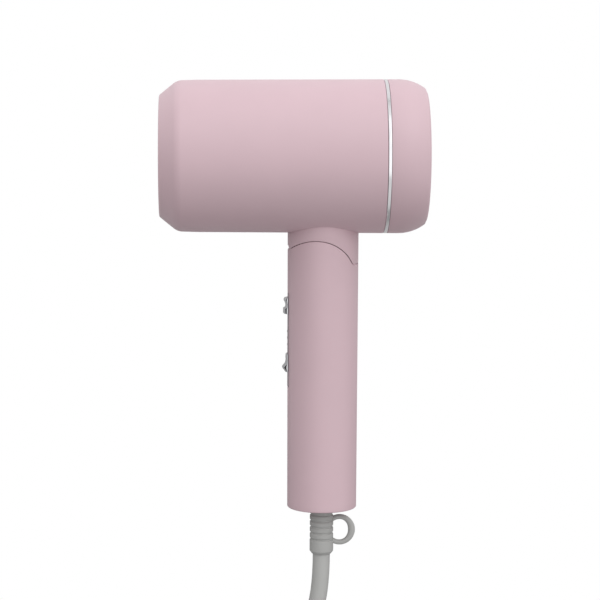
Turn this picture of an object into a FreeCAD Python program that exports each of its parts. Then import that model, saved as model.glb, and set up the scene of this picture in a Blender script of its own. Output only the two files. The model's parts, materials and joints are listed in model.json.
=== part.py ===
# Travel hair dryer: a round barrel on a folding round handle, with a mains cord and plug.
# Design frame, in millimetres: X runs along the barrel (outlet at -X), Y along the handle
# (grip at -Y), Z across both; the barrel's axis and the handle's axis cross at the origin.
# Every piece is made in the design frame, then tipped onto the surface that it lies on.
import FreeCAD, Part
import math
import os
import re
import Sketcher

from FreeCAD import Placement, Rotation, Vector

doc = FreeCAD.newDocument("TravelHairDryer")

# ---------------------------------------------------------------- driving dimensions
SIZES = {
    "barrel_radius": 35.0, "barrel_mid_radius": 34.5, "barrel_mid_place": 57.0,
    "nose_radius": 34.0, "nose_start": 66.4, "outlet_place": 74.7, "outlet_radius": 27.6,
    "barrel_wall": 2.4, "nose_bore": 26.2, "body_end": 27.1, "ring_end": 28.9,
    "cap_round_start": 34.06, "cap_round_radius": 20.0, "cap_end": 46.7, "cap_corner": 30.5,
    "cap_bore": 25.4, "edge_round": 1.2, "thin": 0.8, "slip": 0.1,
    "front_ring_bore": 25.0, "front_ring_depth": 5.0, "grille_place": 66.8, "grille_thick": 2.0,
    "grille_bar": 1.2,
    "mica_radius": 24.0, "heater_start": 63.0, "heater_end": 14.0, "coil_wire": 0.6, "coil_ring": 20.0,
    "coil_pitch": 5.5, "bus_radius": 0.9, "fuse_radius": 1.8, "fuse_length": 12.0, "board_thick": 1.6,
    "motor_radius": 13.0, "motor_start": 4.0, "motor_end": 20.0, "shaft_radius": 1.2,
    "duct_radius": 31.8, "duct_wall": 1.4, "duct_start": 8.0, "duct_end": 24.0,
    "fan_start": 26.0, "fan_end": 34.0, "fan_radius": 28.5, "fan_hub": 9.0, "fan_pitch": 38.0,
    "blade_chord": 11.0, "blade_thick": 1.2,
    "handle_top_radius": 16.28, "handle_end_radius": 16.0, "handle_top": 30.0, "handle_end": 162.6,
    "handle_wall": 2.0, "handle_round": 1.3, "parting": 0.04,
    "pivot_x": 3.52, "pivot_y": 55.31, "head_radius": 17.75, "socket_radius": 18.05,
    "shoulder": 48.7, "seam": 0.3, "tongue_half": 6.0, "slot_half": 6.3, "tongue_radius": 10.3,
    "web_angle": 29.5, "web_half": 2.2, "web_start": 6.0, "web_end": 18.9,
    "relief_radius": 19.4, "relief_half": 3.9,
    "pin_radius": 2.5, "pin_half": 12.0, "pin_gap": 0.05, "boss_radius": 4.6, "cheek": 2.2,
    "bezel_top": 62.6, "bezel_end": 106.0, "bezel_half": 4.0, "bezel_radius": 16.3, "bezel_depth": 13.4,
    "knob_half": 3.5, "knob_seat": 16.45, "stem_half": 1.1, "upper_knob": 68.5, "lower_knob": 95.0,
    "upper_travel": 4.0, "lower_travel": 6.0, "knob_stem": 17.2, "switch_length": 12.0, "switch_half": 4.0,
    "board_top": 76.0, "board_end": 112.0, "board_half": 8.0, "board_face": 3.8, "switch_face": 10.9,
    "clamp_place": 148.0, "clamp_half": 11.0, "clamp_screw": 8.5, "screw_radius": 1.2,
    "relief_length": 21.8, "relief_r": 5.5, "rib_pitch": 2.9, "rib_groove": 0.5, "groove_wide": 1.2,
    "relief_chamfer": 1.2, "flange_grow": 1.5,
    "loop_x": 8.4, "loop_y": 173.7, "loop_ring": 6.0, "loop_wire": 1.33,
    "cord_radius": 4.0, "coil_inner": 32.0, "coil_outer": 56.0, "coil_height": 16.0,
    "coil_x": 10.5, "coil_y": 289.8, "tie_width": 15.0, "tie_thick": 1.0,
    "plug_x": 62.0, "plug_y": 335.0, "plug_radius": 18.0, "plug_deep": 28.0, "plug_half": 14.0,
    "plug_tail_radius": 8.0, "plug_tail_length": 7.0, "pin_chamfer": 1.2,
    "plug_pin_radius": 2.4, "plug_pin_length": 19.0, "plug_pin_spacing": 19.0,
    "tip_angle": 6.796, "rest_x": 14.0, "rest_y": 74.32,
}
sheet = doc.addObject("Spreadsheet::Sheet", "Dim")
for row, (alias, size) in enumerate(SIZES.items(), start=1):
    sheet.set(f"A{row}", alias)
    sheet.set(f"B{row}", str(size))
    sheet.setAlias(f"B{row}", alias)
doc.recompute()


# ---------------------------------------------------------------- small helpers
def sheet_form(expression):
    """Write each dimension's name in the form that an expression needs."""
    return re.sub(r"[a-z][a-z_]+", lambda word: "Dim." + word[0] if word[0] in SIZES else word[0],
                  str(expression))


def value(expression):
    return float(sheet.evalExpression(sheet_form(expression)))


def bind(thing, **sizes):
    for field, expression in sizes.items():
        thing.setExpression(field, sheet_form(expression))


def put(thing, place, turn=None):
    """Put a primitive's corner or base at a place given by three expressions."""
    if turn is not None:
        thing.Placement = Placement(Vector(), turn)
    for letter, expression in zip("xyz", place):
        thing.setExpression(f"Placement.Base.{letter}", sheet_form(expression))
    return thing


TURNS = {"X": Rotation(Vector(0, 1, 0), 90), "Y": Rotation(Vector(1, 0, 0), -90), "Z": Rotation()}


def rod(name, radius, length, place=(0, 0, 0), along="Z"):
    thing = doc.addObject("Part::Cylinder", name)
    bind(thing, Radius=radius, Height=length)
    return put(thing, place, TURNS[along])


def block(name, low, size):
    thing = doc.addObject("Part::Box", name)
    bind(thing, Length=size[0], Width=size[1], Height=size[2])
    return put(thing, low)


def cone(name, first, last, length, place, along):
    thing = doc.addObject("Part::Cone", name)
    bind(thing, Radius1=first, Radius2=last, Height=length)
    return put(thing, place, TURNS[along])


def hoop(name, ring, wire, place, along):
    thing = doc.addObject("Part::Torus", name)
    bind(thing, Radius1=ring, Radius2=wire)
    return put(thing, place, TURNS[along])


def fuse(name, *pieces):
    thing = doc.addObject("Part::MultiFuse", name)
    thing.Shapes = list(pieces)
    return thing


def cut(name, base, *tools):
    thing = doc.addObject("Part::Cut", name)
    thing.Base = base
    thing.Tool = tools[0] if len(tools) == 1 else fuse(name + "Tools", *tools)
    return thing


def common(name, first, second):
    thing = doc.addObject("Part::Common", name)
    thing.Base = first
    thing.Tool = second
    return thing


def origin_feature(body, role):
    return next(item for item in body.Origin.OriginFeatures if item.Role == role)


def outline(body, name, points):
    """A closed sketch on the XY plane. A third entry in a point makes the side that ends there an
    arc of that radius, bulging away from the X axis."""
    sketch = body.newObject("Sketcher::SketchObject", name)
    sketch.AttachmentSupport = [(origin_feature(body, "XY_Plane"), "")]
    sketch.MapMode = "FlatFace"
    places = [Vector(value(point[0]), value(point[1]), 0) for point in points]
    count = len(points)
    ends = []
    for index in range(count):
        start, finish = places[index], places[(index + 1) % count]
        arrival = points[(index + 1) % count]
        if len(arrival) == 3:
            radius = value(arrival[2])
            chord = finish - start
            inward = Vector(chord.y, -chord.x, 0) / chord.Length
            if inward.y > 0:
                inward = inward * -1
            centre = (start + finish) / 2 + inward * math.sqrt(radius ** 2 - (chord.Length / 2) ** 2)
            leftward = start.x > finish.x
            angles = [math.atan2(place.y - centre.y, place.x - centre.x)
                      for place in ((start, finish) if leftward else (finish, start))]
            circle = Part.Circle(centre, Vector(0, 0, 1), radius)
            sketch.addGeometry(Part.ArcOfCircle(circle, *angles), False)
            ends.append((1, 2) if leftward else (2, 1))
        else:
            sketch.addGeometry(Part.LineSegment(start, finish), False)
            ends.append((1, 2))
    for index in range(count):
        after = (index + 1) % count
        sketch.addConstraint(Sketcher.Constraint(
            "Coincident", index, ends[index][1], after, ends[after][0]))
    for index, point in enumerate(points):
        for kind, expression in zip(("DistanceX", "DistanceY"), point):
            size = value(expression)
            number = sketch.addConstraint(Sketcher.Constraint(
                kind, -1, 1, index, ends[index][0], size))
            sketch.setExpression(f"Constraints[{number}]", sheet_form(expression))
        arrival = points[(index + 1) % count]
        if len(arrival) == 3:
            number = sketch.addConstraint(Sketcher.Constraint("Radius", index, value(arrival[2])))
            sketch.setExpression(f"Constraints[{number}]", sheet_form(arrival[2]))
    return sketch


def turned(name, points, axis="X_Axis"):
    """A body made by turning an outline about the X or the Y axis."""
    body = doc.addObject("PartDesign::Body", name)
    sketch = outline(body, name + "Outline", points)
    turn = body.newObject("PartDesign::Revolution", name + "Turn")
    turn.Profile = sketch
    turn.ReferenceAxis = (origin_feature(body, axis), [""])
    turn.Angle = 360.0
    doc.recompute()
    return body


def padded(name, points, half):
    """A body made by padding an outline both ways from the XY plane."""
    body = doc.addObject("PartDesign::Body", name)
    sketch = outline(body, name + "Outline", points)
    pad = body.newObject("PartDesign::Pad", name + "Pad")
    pad.Profile = sketch
    pad.SideType = "Symmetric"
    bind(pad, Length=f"2 * {half}")
    doc.recompute()
    return body


def rounded(body, radius, wanted):
    """Round the body's circular edges whose centre and radius the test accepts."""
    edges = [f"Edge{number}" for number, edge in enumerate(body.Shape.Edges, start=1)
             if isinstance(edge.Curve, Part.Circle) and wanted(edge.Curve)]
    base = body.Tip
    fillet = body.newObject("PartDesign::Fillet", body.Name + "Round")
    fillet.Base = (base, edges)
    bind(fillet, Radius=radius)
    doc.recompute()
    return body


def around(name, count, make, axis=Vector(1, 0, 0)):
    """Copies of a piece, evenly spaced round an axis through the origin."""
    copies = []
    for index in range(count):
        piece = make(f"{name}{index + 1}")
        spin = Placement(Vector(), Rotation(axis, 360.0 / count * index))
        piece.Placement = spin.multiply(piece.Placement)
        copies.append(piece)
    return copies


tip = math.radians(value("tip_angle"))
REST = Placement(Vector(value("rest_x"), value("rest_y"), value("barrel_radius")),
                 Rotation(Vector(1, 0, 0), value("tip_angle")))
FLAT = Placement(Vector(value("rest_x"), value("rest_y"), 0), Rotation())
kept = []


def keep(thing, label, rest=REST):
    """Name a finished sub-part and lay it down with the rest of the dryer."""
    if any("Placement" in path for path, expression in thing.ExpressionEngine):
        plain = doc.addObject("Part::Refine", thing.Name + "Piece")
        plain.Source = thing
        doc.recompute()
        thing = plain
    thing.Label = label
    thing.Placement = rest.multiply(thing.Placement)
    kept.append(thing)
    return thing


# ---------------------------------------------------------------- barrel
def handle_blank(name, start, finish, inset="0"):
    """The handle's outer cone between two distances below the barrel's axis."""
    def radius(place):
        return (f"handle_top_radius - {inset} - (handle_top_radius - handle_end_radius)"
                f" * ({place}) / handle_end")
    return cone(name, radius(finish), radius(start), f"{finish} - ({start})",
                (0, f"0 - ({finish})", 0), "Y")


def pivot_disc(name, radius, low, high):
    return rod(name, radius, f"{high} - ({low})", ("0 - pivot_x", "0 - pivot_y", low))


def tongue_web():
    """The bar that ties the hinge's tongue to the neck, on the inlet's side of the pivot."""
    web = doc.addObject("Part::Box", "TongueWeb")
    bind(web, Length="web_end - web_start", Width="2 * web_half", Height="2 * tongue_half")
    pivot = Placement(Vector(-value("pivot_x"), -value("pivot_y"), 0),
                      Rotation(Vector(0, 0, 1), value("web_angle")))
    corner = Vector(value("web_start"), -value("web_half"), -value("tongue_half"))
    web.Placement = pivot.multiply(Placement(corner, Rotation()))
    return web


def barrel_housing():
    """The barrel's shell with the short neck below it and the hinge's tongue inside the neck."""
    shell = turned("Shell", [
        ("0 - outlet_place", "outlet_radius"), ("0 - nose_start", "nose_radius"),
        ("0 - barrel_mid_place", "barrel_mid_radius"), ("body_end", "barrel_radius"),
        ("body_end", "thin"), ("0 - outlet_place", "thin")])
    rounded(shell, "edge_round", lambda edge: abs(edge.Radius - value("outlet_radius")) < 0.01)
    inside = "barrel_radius - barrel_wall"
    bore = fuse("ShellBore",
                rod("NoseBore", "nose_bore", "outlet_place", ("0 - outlet_place - 1", 0, 0), "X"),
                cone("NoseTaper", "nose_bore", inside, "nose_start - barrel_mid_place",
                     ("0 - nose_start", 0, 0), "X"),
                rod("BodyBore", inside, "barrel_mid_place + body_end + 1",
                    ("0 - barrel_mid_place", 0, 0), "X"))
    neck = cut("Neck", handle_blank("NeckBlank", "handle_top", "shoulder - seam / 2"),
               pivot_disc("Socket", "socket_radius", "0 - handle_top", "handle_top"),
               pivot_disc("KnobRelief", "relief_radius", "0 - relief_half", "relief_half"))
    tongue = pivot_disc("Tongue", "tongue_radius", "0 - tongue_half", "tongue_half")
    solid = fuse("HousingSolid", shell, neck, tongue_web(), tongue)
    hollow = fuse("HousingHollow", bore, pivot_disc("TongueBore", "pin_radius + pin_gap", "0 - 20", "20"))
    return cut("Housing", solid, hollow)


def front_ring():
    """The dark collar inside the nose, which a clip-in nozzle seats in."""
    place = "0 - outlet_place + thin"
    return turned("FrontRing", [
        (place, "front_ring_bore"), (place, "nose_bore - slip"),
        (f"{place} + front_ring_depth", "nose_bore - slip"),
        (f"{place} + front_ring_depth", "front_ring_bore")])


def trim_ring():
    """The bright band between the housing and the rear cap."""
    return turned("TrimRing", [
        ("body_end + slip", "barrel_radius - barrel_wall"), ("body_end + slip", "barrel_radius - slip * 3"),
        ("body_end + slip * 4", "barrel_radius"), ("ring_end - slip * 4", "barrel_radius"),
        ("ring_end - slip", "barrel_radius - slip * 3"), ("ring_end - slip", "barrel_radius - barrel_wall")])


def rear_cap():
    """The domed cap round the inlet."""
    cap = turned("RearCap", [
        ("ring_end", "barrel_radius - thin / 4"), ("ring_end + thin / 4", "barrel_radius"),
        ("cap_round_start", "barrel_radius"), ("cap_end", "cap_corner", "cap_round_radius"),
        ("cap_end", "cap_bore"), ("cap_end - barrel_wall", "cap_bore"),
        ("cap_end - barrel_wall", "cap_corner - barrel_wall"),
        ("cap_round_start", "barrel_radius - barrel_wall", "cap_round_radius"),
        ("ring_end", "barrel_radius - barrel_wall")])
    return rounded(cap, "edge_round", lambda edge: abs(edge.Radius - value("cap_corner")) < 0.01)


def grille(name, place, thick, rim, ring_count, spoke_count, hub):
    """A round grille: rings tied by spokes round a solid hub."""
    hub_disc = rod(name + "Hub", hub, thick, (place, 0, 0), "X")
    pieces = [hub_disc]
    for number in range(ring_count):
        outer = f"{hub} + ({rim} - {hub}) * {number + 1} / {ring_count}"
        pieces.append(cut(f"{name}Ring{number + 1}",
                          rod(f"{name}RingOut{number + 1}", outer, thick, (place, 0, 0), "X"),
                          rod(f"{name}RingIn{number + 1}", f"{outer} - grille_bar",
                              f"{thick} + 2", (f"{place} - 1", 0, 0), "X")))
    pieces += around(name + "Spoke", spoke_count, lambda spoke: block(
        spoke, (place, "0 - grille_bar / 2", f"{hub} / 2"),
        (thick, "grille_bar", f"{rim} - {hub} / 2 - slip")))
    return fuse(name, *pieces)


def outlet_grille():
    return grille("OutletGrille", "0 - grille_place", "grille_thick",
                  "nose_bore - slip", 3, 8, "6")


def inlet_grille():
    return grille("InletGrille", "cap_end - barrel_wall + slip", "grille_thick",
                  "cap_bore - slip", 5, 12, "3.2")


def filter_mesh():
    return rod("FilterMesh", "cap_corner - barrel_wall - 1", "thin",
               ("cap_end - barrel_wall - thin - slip", 0, 0), "X")


def mica_sleeve():
    """The insulating sleeve round the heater."""
    outer = rod("MicaOuter", "mica_radius", "heater_start - heater_end", ("0 - heater_start", 0, 0), "X")
    inner = rod("MicaInner", "mica_radius - thin", "heater_start", ("0 - heater_start - 1", 0, 0), "X")
    return cut("MicaSleeve", outer, inner)


def heater_frame():
    """Two crossed sheets that carry the heating coil."""
    span = ("0 - heater_start + 1", "heater_start - heater_end - 2")
    flat = block("MicaFlat", (span[0], "coil_wire - coil_ring", "0 - thin / 2"),
                 (span[1], "2 * coil_ring - 2 * coil_wire", "thin"))
    upright = block("MicaUpright", (span[0], "0 - thin / 2", "coil_wire - coil_ring"),
                    (span[1], "thin", "2 * coil_ring - 2 * coil_wire"))
    return fuse("HeaterFrame", flat, upright)


def heating_coil():
    """A row of wire loops tied by a thicker bus wire that runs through all of them."""
    loop_count = 8
    first = "0 - heater_start + 4"
    loops = [hoop(f"CoilLoop{number}", "coil_ring", "coil_wire",
                  (f"{first} + coil_pitch * {number}", 0, 0), "X") for number in range(loop_count)]
    bus = rod("CoilBus", "bus_radius", f"coil_pitch * {loop_count - 1} + 4 * bus_radius",
              (f"{first} - 2 * bus_radius", "coil_ring * sqrt(0.5)", "coil_ring * sqrt(0.5)"), "X")
    return fuse("HeatingCoil", bus, *loops)


def motor_mount():
    """The duct with its guide vanes and the cup that holds the motor."""
    outer = rod("DuctOuter", "duct_radius", "duct_end - duct_start", ("duct_start", 0, 0), "X")
    inner = rod("DuctInner", "duct_radius - duct_wall", "duct_end", ("duct_start - 1", 0, 0), "X")
    cup = rod("MotorCup", "motor_radius + duct_wall", "duct_end - duct_start", ("duct_start", 0, 0), "X")
    vanes = around("Vane", 6, lambda vane: block(
        vane, ("duct_start", "0 - duct_wall / 2", "motor_radius"),
        ("duct_end - duct_start", "duct_wall", "duct_radius - motor_radius - duct_wall / 2")))
    seat = rod("MotorSeat", "motor_radius + slip / 2", "duct_end", ("duct_start - 1", 0, 0), "X")
    return cut("MotorMount", fuse("MountSolid", cut("Duct", outer, inner), cup, *vanes), seat)


def motor():
    can = rod("MotorCan", "motor_radius", "motor_end - motor_start", ("motor_start", 0, 0), "X")
    nose = rod("MotorNose", "motor_radius / 3", "shaft_radius * 1.6", ("motor_end", 0, 0), "X")
    bore = rod("MotorBore", "shaft_radius + pin_gap", "motor_end", ("motor_start + 3", 0, 0), "X")
    return cut("Motor", fuse("MotorSolid", can, nose), bore)


def motor_board():
    """The round board behind the motor with its four rectifier diodes."""
    face = "motor_start - board_thick - slip"
    disc = rod("BoardDisc", "motor_radius - 1", "board_thick", (face, 0, 0), "X")
    diodes = around("Diode", 4, lambda diode: block(
        diode, (f"{face} - 2.6", "0 - 1.3", "5"), ("2.6", "2.6", "5")))
    return fuse("MotorBoard", disc, *diodes)


def motor_shaft():
    return rod("MotorShaft", "shaft_radius", "fan_end - motor_start - 5", ("motor_start + 4", 0, 0), "X")


def fan():
    """The fan: pitched blades on a hub."""
    hub = rod("FanHubDisc", "fan_hub", "fan_end - fan_start", ("fan_start", 0, 0), "X")
    pitch = Rotation(Vector(0, 0, 1), value("fan_pitch"))

    def blade(name):
        thing = doc.addObject("Part::Box", name)
        bind(thing, Length="blade_chord", Width="blade_thick", Height="fan_radius - fan_hub / 2")
        centre = Vector(value("(fan_start + fan_end) / 2"), 0, value("fan_hub / 2"))
        corner = Vector(-value("blade_chord / 2"), -value("blade_thick / 2"), 0)
        thing.Placement = Placement(centre, pitch).multiply(Placement(corner, Rotation()))
        return thing

    envelope = rod("FanEnvelope", "fan_radius", "fan_end - fan_start", ("fan_start", 0, 0), "X")
    blades = common("FanBlades", fuse("FanBladeSet", *around("Blade", 9, blade)), envelope)
    bore = rod("FanBore", "shaft_radius", "fan_end", ("fan_start - 1", 0, 0), "X")
    return cut("Fan", fuse("FanSolid", hub, blades), bore)


def thermostat():
    """The cut-out on the heater's cross, in the quarter above it."""
    return block("Thermostat", ("0 - heater_end - 16", "2.5", "2.5"), ("fuse_length", "7", "5"))


def thermal_fuse():
    return rod("ThermalFuse", "fuse_radius", "fuse_length", ("0 - heater_end - 16", "0 - 7", "6"), "X")


# ---------------------------------------------------------------- handle
def handle_half(name, side):
    """One half shell of the handle; side is +1 for the half at +Z and -1 for the half at -Z."""
    def across(name, low, high, radius):
        """A disc round the fold's pivot, reaching from low to high on this half's side."""
        first, last = (low, high) if side > 0 else (f"0 - ({high})", f"0 - ({low})")
        return pivot_disc(name, radius, first, last)

    def slab(tag, x, y, low, high):
        first = low if side > 0 else f"0 - ({high})"
        return block(name + tag, (x[0], y[0], first), (f"{x[1]} - ({x[0]})", f"{y[1]} - ({y[0]})",
                                                       f"{high} - ({low})"))

    wide = ("0 - 20", "20")
    blank = doc.addObject("Part::Fillet", name + "Blank")
    blank.Base = handle_blank(name + "Cone", "handle_top", "handle_end")
    doc.recompute()
    size = value("handle_round")
    blank.Edges = [(number, size, size) for number, edge in enumerate(blank.Base.Shape.Edges, start=1)
                   if isinstance(edge.Curve, Part.Circle)
                   and edge.Curve.Center.y < value("1 - handle_end")]
    blank = common(name + "Side", blank, slab("SideBlock", wide, ("0 - handle_end - 1", "0"),
                                              "parting / 2", "20"))
    above = cut(name + "Above", slab("AboveBlock", wide, ("0 - shoulder - seam / 2", "0"), "0 - 1", "21"),
                across(name + "Head", "0 - 2", "22", "head_radius"))
    slot = across(name + "Slot", "0 - 1", "slot_half", "head_radius + seam")
    slot_wall = slab("SlotWall", ("0 - handle_top_radius - 1", "0 - handle_top_radius + handle_wall"),
                     ("0 - handle_end", "0 - handle_top"), "0 - 2", "slot_half + 1")
    open_slot = cut(name + "OpenSlot", slot, slot_wall)
    cavity = handle_blank(name + "Cavity", "pivot_y + head_radius - 2", "handle_end - handle_wall",
                          "handle_wall")
    pocket_room = common(name + "PocketRoom",
                         handle_blank(name + "PocketBlank", "handle_top", "handle_end - handle_wall",
                                      "handle_wall"),
                         across(name + "PocketDisc", "slot_half + cheek", "20", "head_radius - handle_wall"))
    pocket = cut(name + "Pocket", pocket_room,
                 across(name + "Boss", "0", "19", "boss_radius"))
    pin_hole = across(name + "PinHole", "0 - 1", "pin_half + seam", "pin_radius + pin_gap")
    window = slab("Window", ("0 - 20", "0 - bezel_depth + 1"),
                  ("0 - bezel_end - slip", "0 - bezel_top + slip"), "0 - 1", "bezel_half + slip")
    outlet = rod(name + "CordHole", "cord_radius + slip", "handle_wall * 3",
                 (0, "0 - handle_end - handle_wall", 0), "Y")
    return cut(name, blank, above, open_slot, cavity, pocket, pin_hole, window, outlet)


def pivot_pin():
    return rod("PivotPin", "pin_radius", "2 * pin_half", ("0 - pivot_x", "0 - pivot_y", "0 - pin_half"))


def switch_bezel():
    """The dark strip that the switches slide in, curved with the handle."""
    band = common("BezelBand",
                  block("BezelBlock", ("0 - 20", "0 - bezel_end", "0 - bezel_half"),
                        ("20 - bezel_depth", "bezel_end - bezel_top", "2 * bezel_half")),
                  rod("BezelSkin", "bezel_radius", "handle_end", (0, "0 - handle_end", 0), "Y"))
    slots = [block(f"{label}Slot", ("0 - 20", f"0 - {middle} - {travel} - stem_half - 1.4",
                                    "0 - stem_half - slip * 2"),
                   ("20", f"{travel} + 2 * stem_half + 2.8", "2 * stem_half + slip * 4"))
             for label, middle, travel in (("Upper", "upper_knob", "upper_travel"),
                                           ("Lower", "lower_knob", "lower_travel"))]
    return cut("SwitchBezel", band, *slots)


def knob(name, middle, profile):
    """A slide knob: a ridged cap on the bezel with a stem through the slot."""
    points = [(f"0 - {out}", f"0 - {middle} + ({along})") for out, along in profile]
    cap = cut(name + "Cap", padded(name + "Ridge", points, "knob_half"),
              rod(name + "Seat", "knob_seat", "handle_end", (0, "0 - handle_end", 0), "Y"))
    stem = block(name + "Stem", ("0 - knob_stem", f"0 - {middle} - stem_half - 0.1", "0 - stem_half"),
                 ("6", "2 * stem_half + 0.2", "2 * stem_half"))
    return fuse(name, cap, stem)


def upper_knob():
    return knob("UpperKnob", "upper_knob", [
        (16.2, 3.7), (17.7, 3.6), (18.0, 3.1), (18.0, 2.5), (17.35, 1.5), (17.2, 0.3),
        (17.5, -0.7), (18.25, -1.1), (18.25, -3.2), (17.9, -3.7), (16.2, -3.7)])


def lower_knob():
    return knob("LowerKnob", "lower_knob", [
        (16.2, 4.2), (17.0, 4.0), (17.1, 2.8), (17.0, 1.5), (17.4, -0.2), (18.5, -1.5),
        (18.65, -2.0), (18.4, -2.6), (17.6, -3.6), (17.3, -4.1), (16.2, -4.1)])


def switch_body(name, middle):
    """A slide switch between the board and the bezel, below its knob so that the hinge stays clear."""
    return block(name, ("0 - switch_face", f"0 - {middle} - 9.7", "0 - switch_half"),
                 ("switch_face - board_face - slip", "switch_length", "2 * switch_half"))


def switch_board():
    return block("SwitchBoard", ("0 - board_face", "0 - board_end", "0 - board_half"),
                 ("board_thick", "board_end - board_top", "2 * board_half"))


def strain_relief():
    """The flexible gland at the cord's exit: a flange held inside the handle, a ribbed sleeve, a
    smooth collar, and the hanging loop moulded onto it."""
    end = "handle_end + relief_length"
    sleeve = rod("ReliefSleeve", "relief_r", "relief_length - relief_chamfer",
                 (0, f"0 - ({end}) + relief_chamfer", 0), "Y")
    nose = cone("ReliefNose", "cord_radius + 0.5", "relief_r", "relief_chamfer", (0, f"0 - ({end})", 0), "Y")
    flange = rod("ReliefFlange", "relief_r + flange_grow", "2 * flange_grow",
                 (0, "0 - handle_end + handle_wall + slip", 0), "Y")
    root = rod("ReliefRoot", "cord_radius", "6", (0, "0 - handle_end - 1", 0), "Y")
    grooves = []
    for number in range(4):
        place = f"0 - handle_end - rib_pitch * {number + 1} - 1.6"
        ring = rod(f"GrooveOut{number}", "relief_r + 2", "groove_wide", (0, place, 0), "Y")
        core = rod(f"GrooveIn{number}", "relief_r - rib_groove", "groove_wide + 1",
                   (0, f"{place} - 0.5", 0), "Y")
        grooves.append(cut(f"Groove{number}", ring, core))
    ribbed = cut("Ribbed", fuse("ReliefSolid", sleeve, nose, flange, root), *grooves)
    loop = hoop("LoopRing", "loop_ring", "loop_wire", ("loop_x", "0 - loop_y", 0), "Z")
    bore = rod("ReliefBore", "cord_radius - 0.6", "40", (0, f"0 - ({end}) - 1", 0), "Y")
    return cut("StrainRelief", fuse("ReliefWithLoop", ribbed, loop), bore)


def inner_cord():
    return rod("InnerCord", "cord_radius - 0.7", "40", (0, "0 - handle_end - relief_length", 0), "Y")


def cord_clamp():
    """The bar that presses the cord against the far half of the handle."""
    bar = block("ClampBar", ("0 - clamp_half", "0 - clamp_place - 3", "3.5"), ("2 * clamp_half", "6", "4"))
    holes = [rod(f"ClampHole{number}", "screw_radius + slip", "10", (place, "0 - clamp_place", "2"))
             for number, place in enumerate(("0 - clamp_screw", "clamp_screw"))]
    return cut("CordClamp", bar, *holes)


def clamp_screw(name, place):
    shank = rod(name + "Shank", "screw_radius", "8", (place, "0 - clamp_place", "0"))
    head = rod(name + "Head", "screw_radius + 0.9", "1.6", (place, "0 - clamp_place", "7.6"))
    return fuse(name, shank, head)


# ---------------------------------------------------------------- cord and plug
def cord_run(name, points):
    """A cord's tube along a route: straight runs joined by arcs as large as the runs allow."""
    places = [Vector(*point) for point in points]
    edges, start = [], places[0]
    for before, corner, after in zip(places, places[1:], places[2:]):
        back, ahead = (before - corner), (after - corner)
        turn = math.pi - back.getAngle(ahead)
        reach = 0.45 * min(back.Length, ahead.Length)
        back.normalize()
        ahead.normalize()
        radius = reach / math.tan(turn / 2)
        inside = back + ahead
        inside.normalize()
        middle = corner + inside * (radius / math.cos(turn / 2) - radius)
        edges.append(Part.LineSegment(start, corner + back * reach).toShape())
        edges.append(Part.Arc(corner + back * reach, middle, corner + ahead * reach).toShape())
        start = corner + ahead * reach
        print(f"{name}: bend radius {radius:.1f} mm")
    edges.append(Part.LineSegment(start, places[-1]).toShape())
    path = Part.Wire(edges)
    circle = Part.makeCircle(value("cord_radius"), places[0], places[1] - places[0])
    tube = doc.addObject("Part::Feature", name)
    tube.Shape = path.makePipeShell([Part.Wire(circle)], True, False)
    size = tube.Shape.Volume / (math.pi * value("cord_radius") ** 2 * path.Length)
    print(f"{name}: length {path.Length:.1f} mm, volume over section times length {size:.4f}")
    return tube


exit_reach = value("handle_end + relief_length")
EXIT = (0.0, -exit_reach * math.cos(tip), value("barrel_radius") - exit_reach * math.sin(tip))
LEAD = [EXIT, (0.0, -205.0, 10.6), (-8.0, -222.0, 7.2), (-25.6, -236.4, 4.0)]
TAIL = [(-62.3, -310.6, 12.0), (-62.1, -320.0, 13.0), (-62.0, -328.0, 14.0)]


def cord_coil():
    """The outer shape of the coiled cord: two layers of three turns."""
    base = ("0 - coil_x", "0 - coil_y", 0)
    return cut("CordCoil", rod("CoilRim", "coil_outer", "coil_height", base),
               rod("CoilHole", "coil_inner", "coil_height + 2", ("0 - coil_x", "0 - coil_y", "0 - 1")))


def cord_tie():
    """The strap round the coil; its underside lies on the floor and sinks into the coil."""
    outer = block("TieOuter", ("0 - coil_x - tie_width / 2", "0 - coil_y - coil_outer - tie_thick", 0),
                  ("tie_width", "coil_outer - coil_inner + 2 * tie_thick", "coil_height + tie_thick"))
    inner = block("TieInner", ("0 - coil_x - tie_width", "0 - coil_y - coil_outer", "tie_thick"),
                  ("tie_width * 2", "coil_outer - coil_inner", "coil_height - tie_thick"))
    return cut("CordTie", outer, inner)


def plug_body():
    """A round plug with two flats, and the tapered tail that the cord goes into."""
    face = "0 - plug_y - plug_deep"
    disc = rod("PlugDisc", "plug_radius", "plug_deep", ("0 - plug_x", face, "plug_half"), "Y")
    flats = block("PlugFlats", ("0 - plug_x - plug_radius - 2", face, 0),
                  ("2 * plug_radius + 4", "plug_deep", "2 * plug_half"))
    tail = cone("PlugTail", "plug_tail_radius", "cord_radius + 1", "plug_tail_length",
                ("0 - plug_x", "0 - plug_y", "plug_half"), "Y")
    return fuse("PlugBody", common("PlugSolid", disc, flats), tail)


def plug_pin(name, side):
    place = f"0 - plug_x + ({side}) * plug_pin_spacing / 2"
    point = "0 - plug_y - plug_deep - plug_pin_length"
    shank = rod(name + "Shank", "plug_pin_radius", "plug_pin_length - pin_chamfer",
                (place, f"{point} + pin_chamfer", "plug_half"), "Y")
    nose = cone(name + "Nose", "plug_pin_radius - pin_chamfer + 0.2", "plug_pin_radius", "pin_chamfer",
                (place, point, "plug_half"), "Y")
    return fuse(name, shank, nose)


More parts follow.
